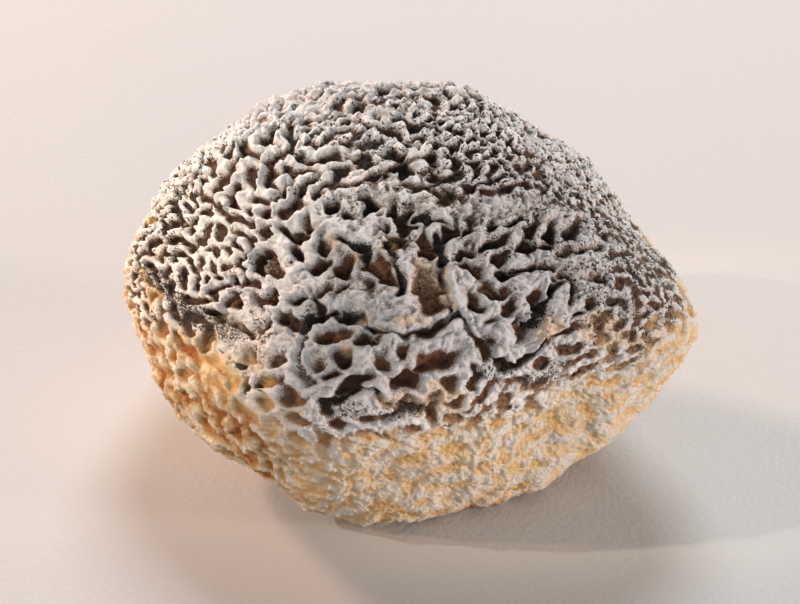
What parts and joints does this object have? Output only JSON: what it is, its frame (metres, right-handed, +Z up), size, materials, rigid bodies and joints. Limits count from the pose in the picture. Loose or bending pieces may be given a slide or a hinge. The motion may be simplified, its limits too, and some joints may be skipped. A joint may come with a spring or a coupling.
{
  "type": "ash-coated goat cheese",
  "caption": "Domed ash-coated goat cheese: a slightly angular lump with a deeply wrinkled grey rind over a pale undercut wall, resting on a flat base.",
  "frame": {"origin": "on the flat underside that the cheese rests on, under the middle of its outline", "axes": "+Z up, +X along the longer side towards the blunt right-hand corner, -Y towards the front that the picture shows"},
  "size_m": [0.0948, 0.0788, 0.0582],
  "materials": {
    "rind": "matt wrinkled rind, white bloom on the ridges and grey-black ash in the valleys, cream to yellow on the wall below"
  },
  "bodies": {
    "root": {"cheese": "rind"}
  },
  "joints": []
}
